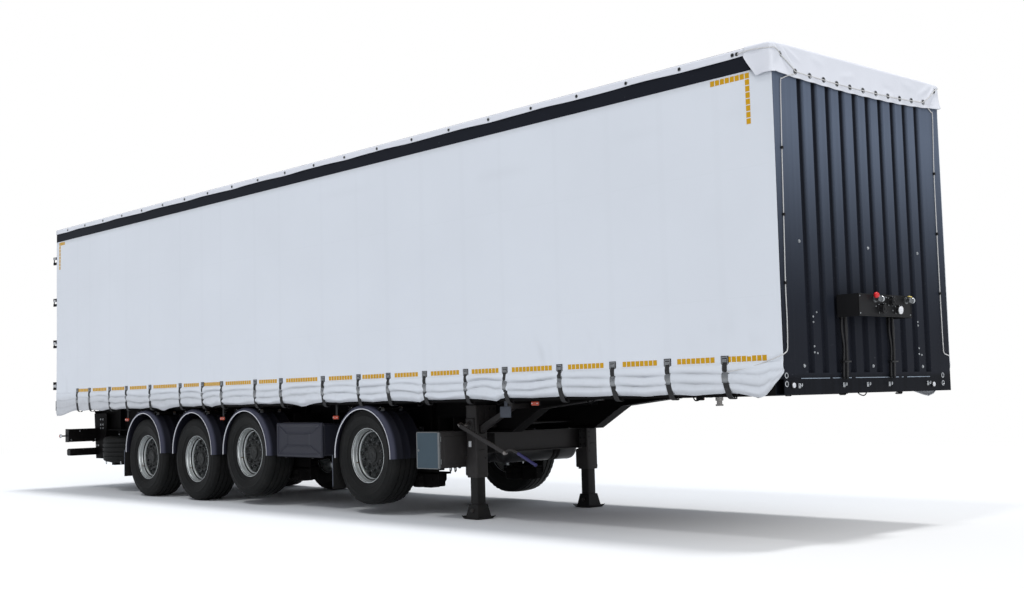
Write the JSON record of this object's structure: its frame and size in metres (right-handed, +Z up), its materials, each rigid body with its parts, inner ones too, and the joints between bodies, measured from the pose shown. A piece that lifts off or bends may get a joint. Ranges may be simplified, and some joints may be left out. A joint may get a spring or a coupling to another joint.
{
  "type": "curtain-sided semi trailer",
  "caption": "Curtain-sided semi trailer with rear axles, landing legs, king pin and swinging rear doors.",
  "frame": {"origin": "on the ground under the centre of the trailer's outline", "axes": "+X towards the front wall, +Y to the trailer's left, +Z up"},
  "size_m": [13.926, 2.55, 4],
  "materials": {
    "chassis": "satin dark grey-black paint",
    "deck": "coated plywood",
    "wall": "satin dark navy paint",
    "cantrail": "satin dark navy paint",
    "bow": "mill finish",
    "tarp": "coated cloth, smooth",
    "curtain": "coated cloth, smooth",
    "buckle": "zinc plated",
    "door": "satin white paint",
    "hinge": "satin black paint",
    "lock": "zinc plated",
    "king_pin": "machined, greased",
    "axle": "matt black paint",
    "air_spring": "matt rubber",
    "tyre": "black rubber",
    "rim": "silver paint",
    "guard": "moulded, blue-grey",
    "flap": "matt rubber",
    "leg": "satin dark grey paint",
    "crank": "dark steel with a blue grip",
    "toolbox": "moulded, blue-grey",
    "control": "satin blue-grey paint",
    "tank": "satin black paint",
    "bumper": "satin black paint",
    "rear_lamp": "clear red lens",
    "marker": "amber lens",
    "spare": "black rubber",
    "panel": "satin black paint",
    "coupling": "cast, with coloured caps",
    "line": "corrugated sheath"
  },
  "bodies": {
    "chassis": {"main_beams": "chassis", "cross_members": "chassis", "side_rails": "chassis", "end_sills": "chassis", "deck": "deck", "front_wall": "wall", "front_frame": "wall", "rear_frame": "wall", "cantrails": "cantrail", "roof_bows": "bow", "roof_sheet": "tarp", "curtain_left": "curtain", "curtain_right": "curtain", "curtain_buckles": "buckle", "stanchions": "bow", "door_hinges": "hinge", "skid_plate": "chassis", "king_pin": "king_pin", "axle_beams": "axle", "trailing_arms": "axle", "arm_hangers": "axle", "air_springs": "air_spring", "mudguards": "guard", "mudflaps": "flap", "leg_housings": "leg", "leg_feet": "leg", "leg_braces": "leg", "leg_crank": "crank", "toolboxes": "toolbox", "control_box": "control", "air_tanks": "tank", "rear_bumper": "bumper", "rear_lamps": "rear_lamp", "spare_wheel": "spare", "spare_carrier": "bumper", "side_markers": "marker", "connection_panel": "panel", "couplings": "coupling", "air_lines": "line"},
    "door_left": {"door_left": "door", "lock_rods_left": "lock"},
    "door_right": {"door_right": "door", "lock_rods_right": "lock"},
    "wheel_1_left": {"tyre_1_left": "tyre", "rim_1_left": "rim"},
    "wheel_1_right": {"tyre_1_right": "tyre", "rim_1_right": "rim"},
    "wheel_2_left": {"tyre_2_left": "tyre", "rim_2_left": "rim"},
    "wheel_2_right": {"tyre_2_right": "tyre", "rim_2_right": "rim"},
    "wheel_3_left": {"tyre_3_left": "tyre", "rim_3_left": "rim"},
    "wheel_3_right": {"tyre_3_right": "tyre", "rim_3_right": "rim"},
    "wheel_4_left": {"tyre_4_left": "tyre", "rim_4_left": "rim"},
    "wheel_4_right": {"tyre_4_right": "tyre", "rim_4_right": "rim"}
  },
  "joints": [
    {"name": "door_left_swing", "type": "hinge", "parent": "chassis", "child": "door_left", "pos_m": [-6.952, 1.258, 2.6], "axis": [0, 0, 1], "range_deg": [-270, 0]},
    {"name": "door_right_swing", "type": "hinge", "parent": "chassis", "child": "door_right", "pos_m": [-6.952, -1.258, 2.6], "axis": [0, 0, 1], "range_deg": [0, 270]},
    {"name": "wheel_1_left_spin", "type": "hinge", "parent": "chassis", "child": "wheel_1_left", "pos_m": [1.1, 1.025, 0.64], "axis": [0, 1, 0], "continuous": true},
    {"name": "wheel_1_right_spin", "type": "hinge", "parent": "chassis", "child": "wheel_1_right", "pos_m": [1.1, -1.025, 0.64], "axis": [0, 1, 0], "continuous": true},
    {"name": "wheel_2_left_spin", "type": "hinge", "parent": "chassis", "child": "wheel_2_left", "pos_m": [-1.35, 1.025, 0.64], "axis": [0, 1, 0], "continuous": true},
    {"name": "wheel_2_right_spin", "type": "hinge", "parent": "chassis", "child": "wheel_2_right", "pos_m": [-1.35, -1.025, 0.64], "axis": [0, 1, 0], "continuous": true},
    {"name": "wheel_3_left_spin", "type": "hinge", "parent": "chassis", "child": "wheel_3_left", "pos_m": [-2.66, 1.025, 0.536], "axis": [0, 1, 0], "continuous": true},
    {"name": "wheel_3_right_spin", "type": "hinge", "parent": "chassis", "child": "wheel_3_right", "pos_m": [-2.66, -1.025, 0.536], "axis": [0, 1, 0], "continuous": true},
    {"name": "wheel_4_left_spin", "type": "hinge", "parent": "chassis", "child": "wheel_4_left", "pos_m": [-4.02, 1.025, 0.536], "axis": [0, 1, 0], "continuous": true},
    {"name": "wheel_4_right_spin", "type": "hinge", "parent": "chassis", "child": "wheel_4_right", "pos_m": [-4.02, -1.025, 0.536], "axis": [0, 1, 0], "continuous": true}
  ]
}
